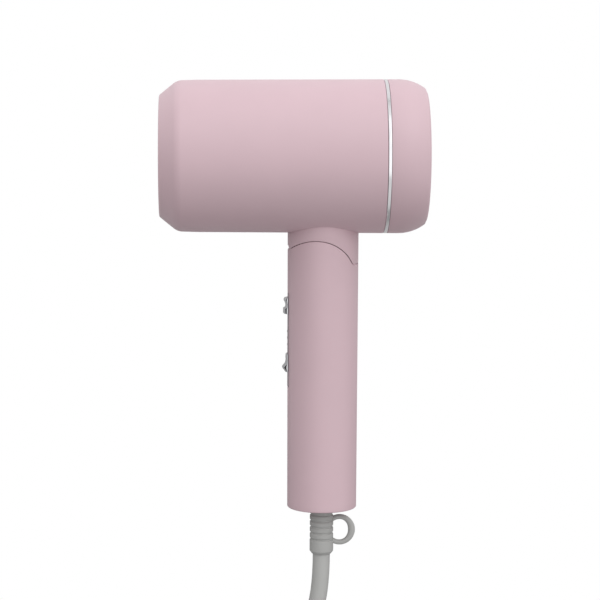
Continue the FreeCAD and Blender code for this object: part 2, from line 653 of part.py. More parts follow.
# ---------------------------------------------------------------- assembly
for make in (barrel_housing, front_ring, trim_ring, rear_cap, outlet_grille, inlet_grille, filter_mesh,
             mica_sleeve, heater_frame, heating_coil, thermostat, thermal_fuse, motor_mount, motor,
             motor_board, motor_shaft, fan, pivot_pin, switch_bezel, upper_knob, lower_knob,
             switch_board, strain_relief, inner_cord, cord_clamp):
    keep(make(), make.__name__)
keep(handle_half("HandleNear", 1), "handle_half_near")
keep(handle_half("HandleFar", -1), "handle_half_far")
keep(switch_body("UpperSwitch", "upper_knob"), "upper_switch")
keep(switch_body("LowerSwitch", "lower_knob"), "lower_switch")
keep(clamp_screw("ClampScrewLeft", "0 - 8.5"), "clamp_screw_left")
keep(clamp_screw("ClampScrewRight", "8.5"), "clamp_screw_right")
keep(cord_run("CordLead", LEAD), "cord_lead", FLAT)
keep(cord_coil(), "cord_coil", FLAT)
keep(cord_run("CordTail", TAIL), "cord_tail", FLAT)
keep(cord_tie(), "cord_tie", FLAT)
keep(plug_body(), "plug_body", FLAT)
keep(plug_pin("PlugPinLeft", -1), "plug_pin_left", FLAT)
keep(plug_pin("PlugPinRight", 1), "plug_pin_right", FLAT)
doc.recompute()

for thing in doc.Objects:
    if "Invalid" in thing.State or "Error" in thing.State:
        raise RuntimeError(f"{thing.Label} failed to build: {thing.State}")
os.makedirs("parts", exist_ok=True)
for piece in kept:
    if piece.Shape.isNull() or not piece.Shape.isValid() or not piece.Shape.Solids:
        raise RuntimeError(f"{piece.Label} has no valid solid")
    piece.Shape.exportStep(f"parts/{piece.Label}.step")
    print(f"{piece.Label}: {len(piece.Shape.Solids)} solid, {piece.Shape.Volume:.0f} mm3")
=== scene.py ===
# Travel hair dryer: looks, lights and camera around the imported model.
# The design frame of the helper row_point is in millimetres: X along the barrel (outlet at -X),
# Y along the handle (grip at -Y), Z across both, with the two axes crossing at its origin.
import json
import math

import bmesh
import bpy
from mathutils import Matrix, Vector


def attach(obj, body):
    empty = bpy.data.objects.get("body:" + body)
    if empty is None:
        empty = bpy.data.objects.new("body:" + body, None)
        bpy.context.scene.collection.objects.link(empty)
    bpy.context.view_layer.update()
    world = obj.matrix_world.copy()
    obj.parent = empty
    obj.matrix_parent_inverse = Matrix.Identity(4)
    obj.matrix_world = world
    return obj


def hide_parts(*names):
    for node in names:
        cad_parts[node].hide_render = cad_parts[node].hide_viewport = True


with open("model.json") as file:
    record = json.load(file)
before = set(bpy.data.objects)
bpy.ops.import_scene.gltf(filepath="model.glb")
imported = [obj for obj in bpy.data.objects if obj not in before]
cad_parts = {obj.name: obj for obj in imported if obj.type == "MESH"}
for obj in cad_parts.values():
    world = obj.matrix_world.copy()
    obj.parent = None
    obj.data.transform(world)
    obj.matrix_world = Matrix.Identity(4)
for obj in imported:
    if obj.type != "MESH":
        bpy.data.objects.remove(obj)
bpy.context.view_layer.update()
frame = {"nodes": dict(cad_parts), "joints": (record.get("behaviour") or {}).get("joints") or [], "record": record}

# ---------------------------------------------------------------- the design frame
MM = 0.001
PIVOT = Vector((-3.52, -55.31, 0.0))
HANDLE_END = 162.6
RELIEF_LENGTH = 21.8
CORD_RADIUS = 4.0
FOLDED_DIP = 18.0

fold = next(joint for joint in frame["joints"] if joint["name"] == "fold")
TILT = math.atan2(-fold["axis"][1], fold["axis"][2])
TURN = Matrix.Rotation(TILT, 4, "X")
ORIGIN = Vector(fold["pos_m"]) - (TURN @ (PIVOT * MM))
TO_ROW = Matrix.Translation(ORIGIN) @ TURN @ Matrix.Scale(MM, 4)
TO_FLOOR = Matrix.Translation((ORIGIN.x, ORIGIN.y, 0.0)) @ Matrix.Scale(MM, 4)


def row_point(x, y, z=0.0):
    """A point of the tipped design frame, in the row frame."""
    return TO_ROW @ Vector((x, y, z))


def floor_point(x, y, z):
    """A point above the surface that the dryer lies on; only its height isn't tipped."""
    return TO_FLOOR @ Vector((x, y, z))


# ---------------------------------------------------------------- camera
CAMERA_YAW = math.radians(2.09)
CAMERA_PITCH = math.radians(7.459)
CAMERA_ROLL = math.radians(0.243)
CAMERA_DISTANCE = 1057.0
CAMERA_TARGET = (-10.45, -66.06, 0.0)
CAMERA_LENS = 138.1


def add_camera():
    """The camera, turned about its target by yaw and pitch, and then rolled."""
    yaw, pitch, roll = CAMERA_YAW, CAMERA_PITCH, CAMERA_ROLL
    right = Vector((math.cos(yaw), 0, math.sin(yaw)))
    back = Vector((-math.sin(yaw) * math.cos(pitch), math.sin(pitch), math.cos(yaw) * math.cos(pitch)))
    up = back.cross(right)
    rolled_right = right * math.cos(roll) + up * math.sin(roll)
    rolled_up = up * math.cos(roll) - right * math.sin(roll)
    axes = Matrix((rolled_right, rolled_up, back)).transposed().to_4x4()
    data = bpy.data.cameras.new("camera")
    data.lens = CAMERA_LENS
    data.sensor_width = 36.0
    data.clip_start = 0.05
    camera = bpy.data.objects.new("camera", data)
    bpy.context.collection.objects.link(camera)
    place = TO_ROW @ (Vector(CAMERA_TARGET) + back * CAMERA_DISTANCE)
    camera.matrix_world = Matrix.Translation(place) @ TURN @ axes
    bpy.context.scene.camera = camera


# ---------------------------------------------------------------- materials
def srgb(red, green, blue):
    """A colour given as 0 to 255 display values, as the linear colour that shaders take."""
    def linear(level):
        level /= 255.0
        return level / 12.92 if level <= 0.04045 else ((level + 0.055) / 1.055) ** 2.4
    return (linear(red), linear(green), linear(blue), 1.0)


def set_range(span, start, end, low, high):
    """Make a Map Range node take start to end over to low to high."""
    for field, level in (("From Min", start), ("From Max", end), ("To Min", low), ("To Max", high)):
        span.inputs[field].default_value = level


class Shader:
    """A Principled material with a few ways of adding procedural detail, in object space."""

    def __init__(self, name, color, roughness, **sockets):
        self.material = bpy.data.materials.new(name)
        self.material.use_nodes = True
        self.nodes = self.material.node_tree.nodes
        self.links = self.material.node_tree.links
        self.principled = self.nodes["Principled BSDF"]
        self.color = color
        self.roughness = roughness
        self.bump = None
        self.principled.inputs["Base Color"].default_value = color
        self.principled.inputs["Roughness"].default_value = roughness
        for socket, level in sockets.items():
            self.principled.inputs[socket.replace("_", " ")].default_value = level
        self.place = self.nodes.new("ShaderNodeTexCoord").outputs["Object"]

    def noise(self, scale, detail, stretch=(1, 1, 1)):
        """Noise from 0 to 1, its scale in cells per metre, drawn out along one axis by the stretch."""
        mapping = self.nodes.new("ShaderNodeMapping")
        mapping.inputs["Scale"].default_value = stretch
        self.links.new(self.place, mapping.inputs["Vector"])
        noise = self.nodes.new("ShaderNodeTexNoise")
        noise.inputs["Scale"].default_value = scale
        noise.inputs["Detail"].default_value = detail
        self.links.new(mapping.outputs["Vector"], noise.inputs["Vector"])
        return noise.outputs["Fac"]

    def wave(self, scale, direction):
        """Straight bands across one axis, from 0 to 1."""
        wave = self.nodes.new("ShaderNodeTexWave")
        wave.bands_direction = direction
        wave.inputs["Scale"].default_value = scale
        self.links.new(self.place, wave.inputs["Vector"])
        return wave.outputs["Fac"]

    def vary_color(self, factor, spread):
        """Shift the colour's brightness by plus and minus the spread."""
        ramp = self.nodes.new("ShaderNodeValToRGB")
        low, high = ramp.color_ramp.elements
        low.position, high.position = 0.3, 0.7
        low.color = (*[level * (1 - spread) for level in self.color[:3]], 1.0)
        high.color = (*[min(1.0, level * (1 + spread)) for level in self.color[:3]], 1.0)
        self.links.new(factor, ramp.inputs["Fac"])
        self.links.new(ramp.outputs["Color"], self.principled.inputs["Base Color"])

    def vary_roughness(self, factor, spread):
        """Shift the roughness by plus and minus the spread."""
        span = self.nodes.new("ShaderNodeMapRange")
        set_range(span, 0.0, 1.0, max(0.0, self.roughness - spread), min(1.0, self.roughness + spread))
        self.links.new(factor, span.inputs["Value"])
        self.links.new(span.outputs["Result"], self.principled.inputs["Roughness"])

    def emboss(self, height, strength, depth):
        """Add a relief of the given depth in metres on top of the ones before it."""
        bump = self.nodes.new("ShaderNodeBump")
        bump.inputs["Strength"].default_value = strength
        bump.inputs["Distance"].default_value = depth
        self.links.new(height, bump.inputs["Height"])
        if self.bump is not None:
            self.links.new(self.bump, bump.inputs["Normal"])
        self.bump = bump.outputs["Normal"]
        self.links.new(self.bump, self.principled.inputs["Normal"])


def moulded(name, color, roughness, coat=0.0):
    """Moulded plastic: a fine texture from the tool, faint flow mottling and uneven gloss."""
    shader = Shader(name, color, roughness, Coat_Weight=coat, Coat_Roughness=0.35)
    shader.vary_color(shader.noise(45.0, 3.0), 0.012)
    shader.vary_roughness(shader.noise(160.0, 2.0), 0.035)
    shader.emboss(shader.noise(2600.0, 1.0), 0.12, 0.00004)
    return shader.material


def drawn_metal(name, color, roughness, direction="X"):
    """Turned or drawn metal: fine lines along one direction and a little tarnish."""
    stretch = {"X": (0.02, 1, 1), "Y": (1, 0.02, 1), "Z": (1, 1, 0.02)}[direction]
    shader = Shader(name, color, roughness, Metallic=1.0)
    shader.vary_color(shader.noise(90.0, 3.0), 0.05)
    shader.vary_roughness(shader.noise(1400.0, 2.0, stretch), 0.08)
    shader.emboss(shader.noise(2200.0, 2.0, stretch), 0.15, 0.00003)
    return shader.material


def rubbery(name, color, roughness):
    """Flexible sheath: a dull skin with faint drag lines and handling marks."""
    shader = Shader(name, color, roughness, Sheen_Weight=0.15)
    shader.vary_color(shader.noise(60.0, 4.0), 0.03)
    shader.vary_roughness(shader.noise(240.0, 2.0), 0.06)
    shader.emboss(shader.noise(1800.0, 2.0), 0.2, 0.00005)
    return shader.material


def woven(name, color):
    """Woven strap: two crossing sets of threads with a fuzzy sheen."""
    shader = Shader(name, color, 0.9, Sheen_Weight=0.5)
    shader.vary_color(shader.noise(700.0, 3.0), 0.12)
    shader.emboss(shader.wave(420.0, "X"), 0.5, 0.0002)
    shader.emboss(shader.wave(420.0, "Y"), 0.5, 0.0002)
    return shader.material


def mica_sheet(name, color):
    """Mica board: pressed flakes that glint in patches."""
    shader = Shader(name, color, 0.45)
    shader.vary_color(shader.noise(380.0, 4.0), 0.18)
    shader.vary_roughness(shader.noise(520.0, 3.0), 0.2)
    shader.emboss(shader.noise(900.0, 3.0), 0.3, 0.00008)
    return shader.material


# Each slot's kind of surface, its colour as display values, and what else its kind takes.
FINISHES = {
    "shell_pink": (moulded, (218, 189, 197), 0.46, 0.08),
    "trim_chrome": (drawn_metal, (232, 232, 234), 0.16),
    "grille_dark": (moulded, (46, 42, 45), 0.55),
    "collar_dark": (moulded, (52, 48, 50), 0.45),
    "bezel_mauve": (moulded, (172, 154, 161), 0.5),
    "knob_silver": (drawn_metal, (206, 206, 209), 0.12, "Z"),
    "relief_grey": (rubbery, (180, 180, 178), 0.55),
    "cord_grey": (rubbery, (187, 187, 185), 0.5),
    "strap_grey": (woven, (88, 87, 88)),
    "pin_brass": (drawn_metal, (214, 210, 200), 0.25, "Y"),
    "steel": (drawn_metal, (178, 178, 181), 0.3),
    "mica": (mica_sheet, (196, 180, 148)),
    "heater_wire": (drawn_metal, (150, 140, 132), 0.45),
    "mesh_steel": (drawn_metal, (150, 150, 152), 0.35),
    "motor_steel": (drawn_metal, (196, 196, 198), 0.32),
    "fan_black": (moulded, (38, 38, 40), 0.3),
    "duct_nylon": (moulded, (206, 202, 192), 0.5),
    "board_green": (moulded, (38, 96, 62), 0.35),
    "switch_black": (moulded, (32, 32, 33), 0.4),
    "fuse_white": (moulded, (228, 226, 220), 0.25),
}
made = {}


def finish_of(slot):
    """The material of a slot, made when it is first asked for."""
    if slot not in made:
        maker, display_color, *details = FINISHES[slot]
        made[slot] = maker(slot, srgb(*display_color), *details)
    return made[slot]


def dress_cad_nodes():
    """Give each CAD node the finish of its material slot."""
    for entry in frame["record"]["subparts"]:
        node = frame["nodes"][entry["node"]]
        finish = finish_of(entry["material_slot"])
        if not node.material_slots:
            node.data.materials.append(finish)
        for slot in node.material_slots:
            slot.material = finish


# ---------------------------------------------------------------- mesh helpers
CREASE = math.radians(35.0)
SOFTENED_BEND = math.radians(45.0)


def build_mesh(name, mesh_data, to_row, soften):
    """A clean mesh in the row frame, smooth except where its faces meet sharply."""
    vertices, faces = mesh_data
    mesh = bpy.data.meshes.new(name)
    mesh.from_pydata([to_row @ Vector(point) for point in vertices], [], faces)
    builder = bmesh.new()
    builder.from_mesh(mesh)
    bmesh.ops.remove_doubles(builder, verts=builder.verts, dist=1e-6)
    bmesh.ops.dissolve_degenerate(builder, edges=builder.edges, dist=1e-6)
    bmesh.ops.recalc_face_normals(builder, faces=builder.faces)
    if soften:
        edges = [edge for edge in builder.edges if len(edge.link_faces) == 2 and edge.is_convex
                 and edge.calc_face_angle(0.0) > SOFTENED_BEND]
        bmesh.ops.bevel(builder, geom=edges, offset=soften * MM, offset_type="OFFSET", segments=2,
                        profile=0.5, affect="EDGES", clamp_overlap=True)
    builder.to_mesh(mesh)
    builder.free()
    mesh.shade_smooth()
    mesh.set_sharp_from_angle(angle=CREASE)
    return mesh


def add_piece(name, mesh_data, slot, body, replaced=(), to_row=TO_ROW, soften=0.0):
    """A mesh piece from design-frame points, with its finish, its body and the nodes it replaces.
    Soften is the width in millimetres of the round put on its outward edges."""
    mesh = build_mesh(name, mesh_data, to_row, soften)
    mesh.materials.append(finish_of(slot))
    piece = bpy.data.objects.new(name, mesh)
    bpy.context.collection.objects.link(piece)
    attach(piece, body)
    if replaced:
        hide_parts(*replaced)


def rounded(corners, steps=6):
    """A closed outline from (u, v, radius) corners, each rounded by a tangent arc."""
    outline = []
    longest_share = 0.48
    for index, (u, v, radius) in enumerate(corners):
        corner = Vector((u, v))
        if radius <= 0:
            outline.append(corner)
            continue
        before = Vector(corners[index - 1][:2]) - corner
        after = Vector(corners[(index + 1) % len(corners)][:2]) - corner
        turn = math.pi - before.angle(after)
        reach = min(radius * math.tan(turn / 2), longest_share * before.length, longest_share * after.length)
        fitted_radius = reach / math.tan(turn / 2)
        inward = (before.normalized() + after.normalized()).normalized()
        centre = corner + inward * fitted_radius / math.cos(turn / 2)
        start = corner + before.normalized() * reach - centre
        finish = corner + after.normalized() * reach - centre
        sweep = start.angle_signed(finish)
        outline += [centre + Matrix.Rotation(-sweep * step / steps, 2) @ start for step in range(steps + 1)]
    return outline


# The radius at which a turned outline that reaches its axis stops.
ON_AXIS = 0.01


def band_faces(first, second, count):
    """The faces between two closed rows of points, given the index that each row starts at."""
    return [(first + index, first + (index + 1) % count, second + (index + 1) % count, second + index)
            for index in range(count)]


def lathe(outline, segments, along="X"):
    """Turn a closed outline of (place on the axis, radius) points about the X or the Y axis."""
    vertices, faces = [], []
    count = len(outline)
    for segment in range(segments):
        angle = 2 * math.pi * segment / segments
        for place, radius in outline:
            side, height = radius * math.cos(angle), radius * math.sin(angle)
            vertices.append((place, side, height) if along == "X" else (side, place, height))
        faces += band_faces(segment * count, (segment + 1) % segments * count, count)
    return vertices, faces


def spread(first, last, count):
    """Evenly spaced values from the first to the last, both included, count steps apart."""
    return [first + (last - first) * step / count for step in range(count + 1)]


def arc(centre, radius, start, finish, steps):
    """Points of an arc, with its angles in degrees."""
    return [(centre[0] + radius * math.cos(math.radians(angle)),
             centre[1] + radius * math.sin(math.radians(angle)))
            for angle in spread(start, finish, steps)]


def moved(mesh_data, shift, order=(0, 1, 2)):
    """The same mesh with its coordinates taken in another order and then shifted."""
    vertices, faces = mesh_data
    return [tuple(point[axis] + step for axis, step in zip(order, shift)) for point in vertices], faces


def box_mesh(low, high):
    """A box between its lowest and its highest corner."""
    vertices = [(x, y, z) for x in (low[0], high[0]) for y in (low[1], high[1]) for z in (low[2], high[2])]
    return vertices, [(0, 1, 3, 2), (4, 6, 7, 5), (0, 4, 5, 1), (2, 3, 7, 6), (0, 2, 6, 4), (1, 5, 7, 3)]


def thick_sheet(outer, inner, is_open=lambda row, column: False):
    """A sheet between two grids of points, with walls round its rim and round its open cells."""
    rows, columns = len(outer), len(outer[0])
    vertices = [point for grid in (outer, inner) for line in grid for point in line]
    shift = rows * columns
    faces = []

    def filled(row, column):
        return 0 <= row < rows - 1 and 0 <= column < columns - 1 and not is_open(row, column)

    for row in range(rows - 1):
        for column in range(columns - 1):
            if not filled(row, column):
                continue
            near, far = row * columns + column, (row + 1) * columns + column
            faces.append((near, far, far + 1, near + 1))
            faces.append((near + shift, near + 1 + shift, far + 1 + shift, far + shift))
            for beside, first, last in (((row - 1, column), near, near + 1),
                                        ((row + 1, column), far, far + 1),
                                        ((row, column - 1), near, far),
                                        ((row, column + 1), near + 1, far + 1)):
                if not filled(*beside):
                    faces.append((first, last, last + shift, first + shift))
    return vertices, faces


def loft(sections):
    """A closed solid through equally long closed sections, capped at both ends."""
    count = len(sections[0])
    vertices = [point for section in sections for point in section]
    faces = [tuple(range(count)), tuple(range(len(vertices) - count, len(vertices)))]
    for index in range(len(sections) - 1):
        faces += band_faces(index * count, (index + 1) * count, count)
    return vertices, faces


def joined(*meshes):
    """Several meshes as one."""
    vertices, faces = [], []
    for points, polygons in meshes:
        shift = len(vertices)
        vertices += points
        faces += [tuple(index + shift for index in polygon) for polygon in polygons]
    return vertices, faces


# ---------------------------------------------------------------- barrel
# The handle's head and the neck have the radius that the handle has at their level. Seen from the
# side, the head ends in a circle round the pivot, between shoulders.
HEAD_RADIUS, SOCKET_RADIUS, RELIEF_RADIUS = 17.75, 18.05, 19.4
HEAD_SHOULDER, NECK_SHOULDER = -48.85, -48.55
HEAD_LEVEL, NECK_LEVEL = -50.0, -42.0
KNOB_RELIEF_HALF = 3.9
HANDLE_TOP_RADIUS, HANDLE_END_RADIUS = 16.28, 16.0
BARREL_RADIUS, SHELL_BORE = 35.0, 32.6
BODY_END, RING_END, CAP_END = 27.1, 28.9, 46.7


def handle_radius(y):
    """The handle's radius, which shrinks a little towards the grip's end."""
    return HANDLE_TOP_RADIUS + (HANDLE_TOP_RADIUS - HANDLE_END_RADIUS) * y / HANDLE_END


def over_pivot(x, radius, shoulder):
    """Height of the circle round the pivot at x, or of the shoulder where the circle is lower."""
    reach = radius ** 2 - (x - PIVOT.x) ** 2
    return max(shoulder, PIVOT.y + math.sqrt(reach)) if reach > 0 else shoulder


def neck_mesh():
    """The short neck: sunk into the barrel above, hollowed by the fold's socket below."""
    radius, sunk, thinnest = handle_radius(NECK_LEVEL), 1.4, 0.02
    relief_steps, socket_steps = 4, 60
    at_relief = math.asin(KNOB_RELIEF_HALF / radius)
    angles = (spread(0.0, at_relief, relief_steps) + spread(at_relief, math.pi - at_relief, socket_steps)
              + spread(math.pi - at_relief, math.pi, relief_steps))
    sections = []
    for index, angle in enumerate(angles):
        x, width = -radius * math.cos(angle), max(radius * math.sin(angle), thinnest)
        narrow = index <= relief_steps or index >= len(angles) - relief_steps - 1
        middle = min(KNOB_RELIEF_HALF, width)
        socket = over_pivot(x, SOCKET_RADIUS, NECK_SHOULDER)
        relief = over_pivot(x, RELIEF_RADIUS, NECK_SHOULDER)
        side = relief if narrow else socket
        across = [(-width, side), (-middle, side), (-middle, relief), (middle, relief), (middle, side),
                  (width, side)]
        bottom = [(x, y, z) for z, y in across]
        top = [(x, -math.sqrt((BARREL_RADIUS - sunk) ** 2 - z ** 2), z) for z, y in reversed(across)]
        sections.append(bottom + top)
    return loft(sections)


def tongue_mesh():
    """The hinge's tongue: a ring round the pivot pin and a web that leans back into the neck."""
    half, bore, radius = 6.0, 2.55, 10.3
    web_start, web_end, web_half, lean = 6.0, 18.9, 2.2, math.radians(29.5)
    section = rounded([(-half, bore, 0), (-half, radius, 0.4), (half, radius, 0.4), (half, bore, 0)])
    ring = moved(lathe(section, 64), PIVOT, (1, 2, 0))
    bar, faces = box_mesh((web_start, -web_half, -half), (web_end, web_half, half))
    turn = Matrix.Rotation(lean, 3, "Z")
    return joined(ring, ([tuple(PIVOT + turn @ Vector(point)) for point in bar], faces))


def barrel_shell():
    """Housing with its conical nose, the neck, and the hinge's tongue inside the neck."""
    skin = rounded([(-74.7, 26.2, 0.3), (-74.7, 27.6, 1.0), (-66.5, 34.3, 7.0), (-57.0, 34.55, 0),
                    (-20.0, 34.75, 0), (BODY_END, BARREL_RADIUS, 0.3), (BODY_END, SHELL_BORE, 0),
                    (-57.0, SHELL_BORE, 0), (-66.4, 26.2, 0)], 10)
    add_piece("barrel_shell", lathe(skin, 192), "shell_pink", "barrel", ["barrel_housing"])
    add_piece("barrel_neck", neck_mesh(), "shell_pink", "barrel", soften=0.3)
    add_piece("barrel_tongue", tongue_mesh(), "shell_pink", "barrel")


def trim_band():
    """The bright band between the housing and the rear cap."""
    low, high, edge = BODY_END + 0.1, RING_END - 0.1, 0.28
    band = rounded([(low, SHELL_BORE, 0), (low, BARREL_RADIUS, edge), (high, BARREL_RADIUS, edge),
                    (high, SHELL_BORE, 0)], 5)
    add_piece("trim_band", lathe(band, 192), "trim_chrome", "barrel", ["trim_ring"])


def rear_cap():
    """The domed cap: its side rounds in to a narrow rim, which has the hole for the inlet grille."""
    dome_start, dome_stop, dome_radius = 34.06, CAP_END - 0.7, 20.0
    wall, rim_round, rim_radius, hole = 2.4, 1.3, 29.3, 25.4
    dome_centre = (dome_start, BARREL_RADIUS - dome_radius)
    dome_end = math.degrees(math.acos((dome_stop - dome_start) / dome_radius))
    outside = [(RING_END, BARREL_RADIUS - 0.3), (RING_END + 0.08, BARREL_RADIUS - 0.09),
               (RING_END + 0.3, BARREL_RADIUS)]
    outside += arc(dome_centre, dome_radius, 90, dome_end, 28)
    outside += arc((CAP_END - rim_round, rim_radius), rim_round, 52, 0, 8)
    inside = [(CAP_END, hole + 0.35), (CAP_END - 0.12, hole + 0.08), (CAP_END - 0.4, hole),
              (CAP_END - wall, hole), (CAP_END - wall, hole + 2.7)]
    inside += arc(dome_centre, dome_radius - wall, 52, 90, 16)
    inside.append((RING_END, SHELL_BORE))
    add_piece("rear_cap_domed", lathe(outside + inside, 192), "shell_pink", "barrel", ["rear_cap"])


def filter_screen():
    """Two crossing layers of bars in a flat rim."""
    first, second, radius = CAP_END - 3.3, CAP_END - 3.0, 27.1
    pitch, bars_each_side, bar_half, bar_thick, rim_wide, rim_thick = 1.3, 20, 0.17, 0.36, 0.9, 0.75
    bars = []
    for index in range(-bars_each_side, bars_each_side + 1):
        low, high = index * pitch - bar_half, index * pitch + bar_half
        reach = math.sqrt(radius ** 2 - (index * pitch) ** 2)
        bars.append(box_mesh((first, low, -reach), (first + bar_thick, high, reach)))
        bars.append(box_mesh((second, -reach, low), (second + bar_thick, reach, high)))
    rim = lathe([(first, radius - rim_wide), (first, radius), (first + rim_thick, radius),
                 (first + rim_thick, radius - rim_wide)], 96)
    add_piece("filter_screen", joined(rim, *bars), "mesh_steel", "barrel", ["filter_mesh"])


def grille_mesh(place, rim, ring_count, spoke_count, hub):
    """Concentric rings with rounded bars, tied by spokes round a hub."""
    thick, bar, edge, blade_inset, blade_sunk = 2.0, 1.2, 0.35, 0.1, 0.3

    def section(low, high, start, end):
        return rounded([(low, start, edge), (low, end, edge), (high, end, edge), (high, start, edge)], 4)

    parts = [lathe(rounded([(place, ON_AXIS, 0), (place, hub, edge), (place + thick, hub, edge),
                            (place + thick, ON_AXIS, 0)], 4), 64)]
    for number in range(1, ring_count + 1):
        outer = hub + (rim - hub) * number / ring_count
        parts.append(lathe(section(place, place + thick, outer - bar, outer), 96))
    blade = section(place + blade_inset, place + thick - blade_inset, -bar / 2, bar / 2)
    for number in range(spoke_count):
        turn = Matrix.Rotation(2 * math.pi * number / spoke_count, 3, "X")
        parts.append(loft([[tuple(turn @ Vector((u, v, reach))) for u, v in blade]
                           for reach in (hub / 2, rim - blade_sunk)]))
    return joined(*parts)


def rear_end():
    """Bright trim band, domed rear cap, inlet grille and the screen behind it."""
    trim_band()
    rear_cap()
    grille = grille_mesh(place=CAP_END - 2.3, rim=25.3, ring_count=5, spoke_count=12, hub=3.2)
    add_piece("inlet_grille_fine", grille, "grille_dark", "barrel", ["inlet_grille"])
    filter_screen()


def outlet_end():
    """The dark collar in the nose and the guard grille behind it."""
    collar = rounded([(-73.9, 25.0, 0.35), (-73.9, 26.1, 0.3), (-68.9, 26.1, 0.2), (-68.9, 25.0, 0.3)], 5)
    add_piece("front_collar", lathe(collar, 160), "collar_dark", "barrel", ["front_ring"])
    grille = grille_mesh(place=-66.8, rim=26.1, ring_count=3, spoke_count=8, hub=6.0)
    add_piece("outlet_grille_fine", grille, "grille_dark", "barrel", ["outlet_grille"])


# ---------------------------------------------------------------- handle
WALL, CHEEK_INNER, PARTING = 2.0, 6.3, 0.02
WINDOW_HALF, WINDOW_TOP, WINDOW_END, WINDOW_LEVEL = 4.1, -62.5, -106.1, -84.0
WINDOW_STEPS, HALF_WINDOW_STEPS, HEAD_STEPS = 4, 6, 6


def handle_profiles():
    """The (radius, height) points of the handle's skin and lining, from its end to the window's top."""
    cord_hole, end_ring, skin_round, lining_round = 4.3, 9.0, 0.6, 0.4
    skin = [(cord_hole, -HANDLE_END), (end_ring, -HANDLE_END)]
    skin += arc((HANDLE_END_RADIUS - skin_round, skin_round - HANDLE_END), skin_round, -90, 0, 6)
    lining = [(cord_hole, WALL - HANDLE_END), (end_ring, WALL - HANDLE_END)]
    lining += arc((HANDLE_END_RADIUS - WALL - lining_round, WALL + lining_round - HANDLE_END),
                  lining_round, -90, 0, 6)
    heights = spread(3.0 - HANDLE_END, WINDOW_END, 5) + spread(WINDOW_END, WINDOW_TOP, WINDOW_STEPS)[1:]
    skin += [(handle_radius(y), y) for y in heights]
    lining += [(handle_radius(y) - WALL, y) for y in heights]
    return skin, lining


def handle_shell(side):
    """Half of the hollow handle with half of the switch window, round at its head for the fold."""
    skin, lining = handle_profiles()
    window_first = len(skin) - WINDOW_STEPS - 1
    shoulder_start = 13.0
    head_edge = math.acos(shoulder_start / handle_radius(HEAD_SHOULDER))
    window_edge = math.pi - math.asin(WINDOW_HALF / handle_radius(WINDOW_LEVEL))
    angles = (spread(0.0, head_edge, 12) + spread(head_edge, window_edge, 48)[1:]
              + spread(window_edge, math.pi, HALF_WINDOW_STEPS)[1:])
    outer, inner = [], []
    for angle in angles:
        for grid, profile, inset in ((outer, skin, 0.0), (inner, lining, WALL)):
            head_radius = handle_radius(HEAD_LEVEL) - inset
            top = over_pivot(head_radius * math.cos(angle), HEAD_RADIUS, HEAD_SHOULDER)
            line = profile + [(head_radius, y) for y in spread(WINDOW_TOP, top, HEAD_STEPS)[1:]]
            grid.append([(radius * math.cos(angle), y, side * max(radius * math.sin(angle), PARTING))
                         for radius, y in line])
    last = len(angles) - 1
    return thick_sheet(outer, inner, lambda row, column: row >= last - HALF_WINDOW_STEPS
                       and window_first <= column < window_first + WINDOW_STEPS)


def hinge_cheek(side):
    """The thick part of the head that stands beside the hinge's tongue."""
    half_width, end = 12.6, -73.0
    sections = []
    for x in spread(-half_width, half_width, 36):
        deep = math.sqrt((handle_radius(HEAD_LEVEL) - WALL + 0.1) ** 2 - x ** 2)
        top = over_pivot(x, HEAD_RADIUS, HEAD_SHOULDER)
        corners = (top, CHEEK_INNER), (top, deep), (end, deep), (end, CHEEK_INNER)
        sections.append([(x, y, side * z) for y, z in corners])
    return loft(sections)


def handle_half(name, side, node):
    """One half of the handle: the skin with half of the switch window, and the hinge's cheek."""
    add_piece(name, joined(handle_shell(side), hinge_cheek(side)), "shell_pink", "handle", [node],
              soften=0.28)


# ---------------------------------------------------------------- switches
STRIP_RADIUS, STRIP_HALF, STRIP_TOP, STRIP_END = 16.2, 4.0, -62.6, -106.0
UPPER_KNOB, UPPER_TRAVEL = 68.5, 4.0
LOWER_KNOB, LOWER_TRAVEL = 95.0, 6.0


def curved_grid(radius, rows, across):
    """Points on the switch side of a cylinder round the handle's axis."""
    return [[(-math.sqrt(radius ** 2 - z ** 2), y, z) for z in across] for y in rows]


def switch_strip():
    """The strip with its two slots, curved like the handle outside and flat inside."""
    flat, slot_half, slot_margin, side_steps, slot_steps = 13.4, 1.3, 2.5, 4, 2
    rows = [STRIP_END]
    for knob, travel in ((LOWER_KNOB, LOWER_TRAVEL), (UPPER_KNOB, UPPER_TRAVEL)):
        rows += [-knob - travel - slot_margin, -knob + slot_margin]
    rows.append(STRIP_TOP)
    across = (spread(-STRIP_HALF, -slot_half, side_steps) + spread(-slot_half, slot_half, slot_steps)[1:]
              + spread(slot_half, STRIP_HALF, side_steps)[1:])
    outer = curved_grid(STRIP_RADIUS, rows, across)
    inner = [[(-flat, y, z) for z in across] for y in rows]
    strip = thick_sheet(outer, inner, lambda row, column: row in (1, 3)
                        and side_steps <= column < side_steps + slot_steps)
    add_piece("switch_strip", strip, "bezel_mauve", "handle", ["switch_bezel"], soften=0.2)


def level_marks():
    """Three raised bars between the knobs, each longer than the one before, that show the level."""
    proud, sunk, half_high = 0.12, 0.1, 0.3
    bars = []
    for y, half_long in ((-86.5, 0.8), (-83.5, 1.5), (-80.5, 2.2)):
        rows, across = (y - half_high, y + half_high), spread(-half_long, half_long, 10)
        bars.append(thick_sheet(curved_grid(STRIP_RADIUS + proud, rows, across),
                                curved_grid(STRIP_RADIUS - sunk, rows, across)))
    add_piece("level_marks", joined(*bars), "relief_grey", "handle")


